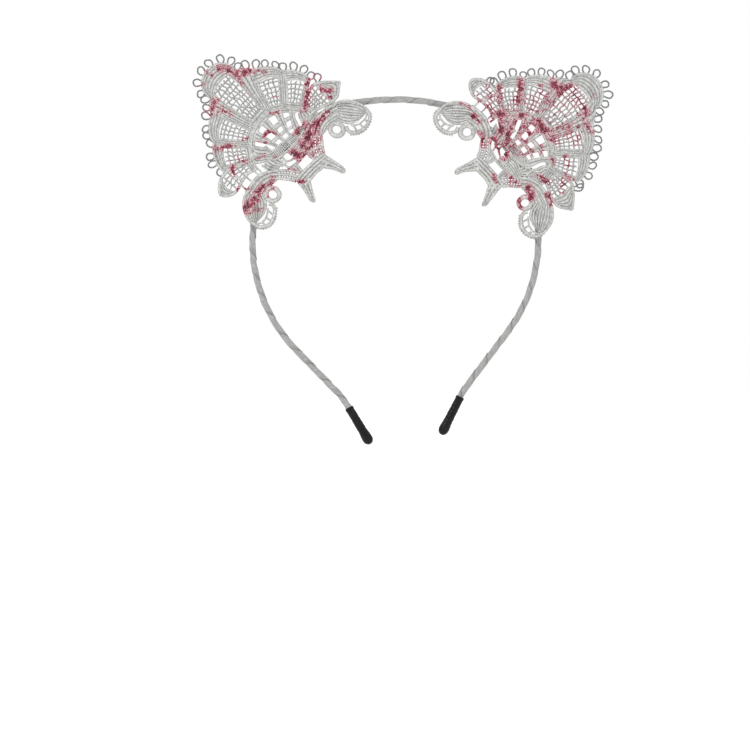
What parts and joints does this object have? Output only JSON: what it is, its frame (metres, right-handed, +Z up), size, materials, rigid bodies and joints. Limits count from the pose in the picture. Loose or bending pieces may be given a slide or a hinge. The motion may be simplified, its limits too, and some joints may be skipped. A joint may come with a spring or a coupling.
{
  "type": "animal ears headband",
  "caption": "Ribbon-wrapped spring-wire headband with rubber tip caps and two upright openwork lace cat ears stitched to its front.",
  "frame": {"origin": "inside of the band at the top of its crown, where it rests on the head", "axes": "+Z up as worn, +X to the right seen from in front, the ears and the lace's face towards -Y"},
  "size_m": [0.187, 0.0058, 0.1759],
  "materials": {
    "spring_wire": "drawn spring-steel wire",
    "satin_ribbon": "pale grey-white satin ribbon, wound steeply",
    "rubber_cap": "black dipped rubber, slightly glossy, fine wrinkles",
    "lace": "off-white guipure lace with crimson splatter",
    "picot_thread": "off-white twisted thread loops",
    "binding_thread": "off-white sewing thread"
  },
  "bodies": {
    "crown": {"crown_wire": "spring_wire", "crown_ribbon_wrap": "satin_ribbon"},
    "left_shoulder": {"left_shoulder_wire": "spring_wire", "left_shoulder_ribbon_wrap": "satin_ribbon", "left_ear_fan_hub": "lace", "left_ear_tip_petal": "lace", "left_ear_upper_inner_petal": "lace", "left_ear_lower_inner_petal": "lace", "left_ear_corner_inner_petal": "lace", "left_ear_inner_scroll": "lace", "left_ear_upper_outer_petal": "lace", "left_ear_lower_outer_petal": "lace", "left_ear_corner_outer_petal": "lace", "left_ear_outer_scroll": "lace", "left_ear_forked_tail": "lace", "left_ear_picot_edging": "picot_thread", "left_ear_binding_stitches": "binding_thread"},
    "left_leg": {"left_leg_wire": "spring_wire", "left_leg_ribbon_wrap": "satin_ribbon", "left_tip_cap": "rubber_cap"},
    "right_shoulder": {"right_shoulder_wire": "spring_wire", "right_shoulder_ribbon_wrap": "satin_ribbon", "right_ear_fan_hub": "lace", "right_ear_tip_petal": "lace", "right_ear_upper_inner_petal": "lace", "right_ear_lower_inner_petal": "lace", "right_ear_corner_inner_petal": "lace", "right_ear_inner_scroll": "lace", "right_ear_upper_outer_petal": "lace", "right_ear_lower_outer_petal": "lace", "right_ear_corner_outer_petal": "lace", "right_ear_outer_scroll": "lace", "right_ear_forked_tail": "lace", "right_ear_picot_edging": "picot_thread", "right_ear_binding_stitches": "binding_thread"},
    "right_leg": {"right_leg_wire": "spring_wire", "right_leg_ribbon_wrap": "satin_ribbon", "right_tip_cap": "rubber_cap"}
  },
  "joints": [
    {"name": "left_shoulder_flex", "type": "hinge", "parent": "crown", "child": "left_shoulder", "pos_m": [-0.01877, 0, -0.00013], "axis": [0, 1, 0], "range_deg": [-2.5, 9], "stiffness_Nm_per_rad": 1.4},
    {"name": "left_leg_flex", "type": "hinge", "parent": "left_shoulder", "child": "left_leg", "pos_m": [-0.06454, 0, -0.05706], "axis": [0, 1, 0], "range_deg": [-2.5, 9]},
    {"name": "right_shoulder_flex", "type": "hinge", "parent": "crown", "child": "right_shoulder", "pos_m": [0.01913, 0, -0.00066], "axis": [0, -1, 0], "range_deg": [-2.5, 9], "stiffness_Nm_per_rad": 1.4},
    {"name": "right_leg_flex", "type": "hinge", "parent": "right_shoulder", "child": "right_leg", "pos_m": [0.06374, 0, -0.0597], "axis": [0, -1, 0], "range_deg": [-2.5, 9]}
  ],
  "couplings": [
    {"joint": "left_leg_flex", "follows": "left_shoulder_flex", "ratio": 1},
    {"joint": "right_leg_flex", "follows": "right_shoulder_flex", "ratio": 1}
  ]
}
